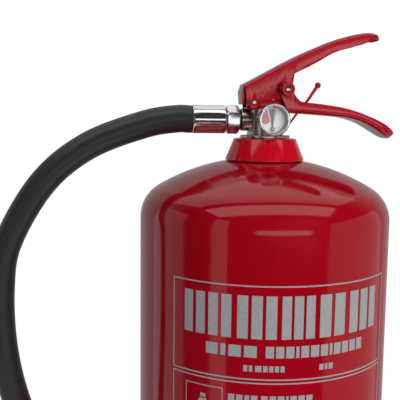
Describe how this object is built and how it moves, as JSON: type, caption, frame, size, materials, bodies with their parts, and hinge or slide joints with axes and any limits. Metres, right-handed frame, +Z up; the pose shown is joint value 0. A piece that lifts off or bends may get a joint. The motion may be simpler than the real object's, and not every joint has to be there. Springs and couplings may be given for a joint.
{
  "type": "fire extinguisher",
  "caption": "Water fire extinguisher with domed steel cylinder, squeeze-grip valve, pressure gauge, hose and nozzle.",
  "frame": {"origin": "centre of the foot's underside, on the cylinder's axis", "axes": "+Z up along the cylinder, +X the side the levers point to, -Y the front with the gauge and the label"},
  "size_m": [0.2927, 0.185, 0.6247],
  "materials": {
    "red_paint": "gloss",
    "lever_paint": "gloss",
    "red_plastic": "gloss",
    "black_plastic": "satin",
    "black_rubber": "satin",
    "nickel_brass": "polished",
    "brass": "satin",
    "chrome": "polished",
    "steel": "satin",
    "white_plastic": "satin",
    "dial_card": "matt",
    "needle_paint": "matt",
    "lens": "clear"
  },
  "bodies": {
    "cylinder_and_valve": {"cylinder_shell": "red_paint", "bottom_dome": "red_paint", "neck_ring": "steel", "base_boot": "black_plastic", "neck_collar": "red_plastic", "neck_seal": "black_rubber", "valve_body": "nickel_brass", "spring_retainer": "brass", "siphon_tube": "white_plastic", "siphon_strainer": "black_plastic", "outlet_washer": "chrome", "outlet_oring": "black_rubber", "hose_nut": "chrome", "hose_tail": "brass", "hose_ferrule": "chrome", "hose": "black_rubber", "nozzle": "black_plastic", "nozzle_ring": "chrome", "hose_strap": "black_rubber", "nozzle_clip": "black_plastic", "gauge_stem": "brass", "gauge_case": "nickel_brass", "gauge_dial": "dial_card", "gauge_pivot": "brass", "gauge_lens": "lens", "gauge_bezel": "chrome", "carry_handle": "lever_paint", "handle_screw_near": "steel", "handle_screw_far": "steel", "pivot_pin": "steel", "pin_cap": "red_plastic", "tamper_seal": "red_plastic", "spindle_spring": "steel"},
    "operating_lever": {"operating_lever": "lever_paint"},
    "spindle": {"spindle": "brass", "spindle_seal": "black_rubber"},
    "safety_pin": {"safety_pin": "steel"},
    "pull_ring": {"pull_ring": "steel"},
    "gauge_needle": {"gauge_needle": "needle_paint"}
  },
  "joints": [
    {"name": "operating_lever_squeeze", "type": "hinge", "parent": "cylinder_and_valve", "child": "operating_lever", "pos_m": [-0.0104, 0, 0.57462], "axis": [0, 1, 0], "range_deg": [0, 9], "stiffness_Nm_per_rad": 1.2, "springref_deg": -8.59},
    {"name": "spindle_slide", "type": "slide", "parent": "cylinder_and_valve", "child": "spindle", "axis": [0, 0, -1], "range_m": [0, 0.0028], "deforming": ["spindle_spring"]},
    {"name": "safety_pin_slide", "type": "slide", "parent": "cylinder_and_valve", "child": "safety_pin", "axis": [0, 1, 0], "range_m": [0, 0.045]},
    {"name": "pull_ring_swing", "type": "hinge", "parent": "safety_pin", "child": "pull_ring", "pos_m": [0.0115, 0.0225, 0.58382], "axis": [1, 0, 0], "range_deg": [0, 110]},
    {"name": "gauge_needle_turn", "type": "hinge", "parent": "cylinder_and_valve", "child": "gauge_needle", "pos_m": [0, -0.0255, 0.55602], "axis": [0, 1, 0], "range_deg": [-40, 40]}
  ],
  "couplings": [
    {"joint": "spindle_slide", "follows": "operating_lever_squeeze", "m_per_rad": 0.0168}
  ]
}
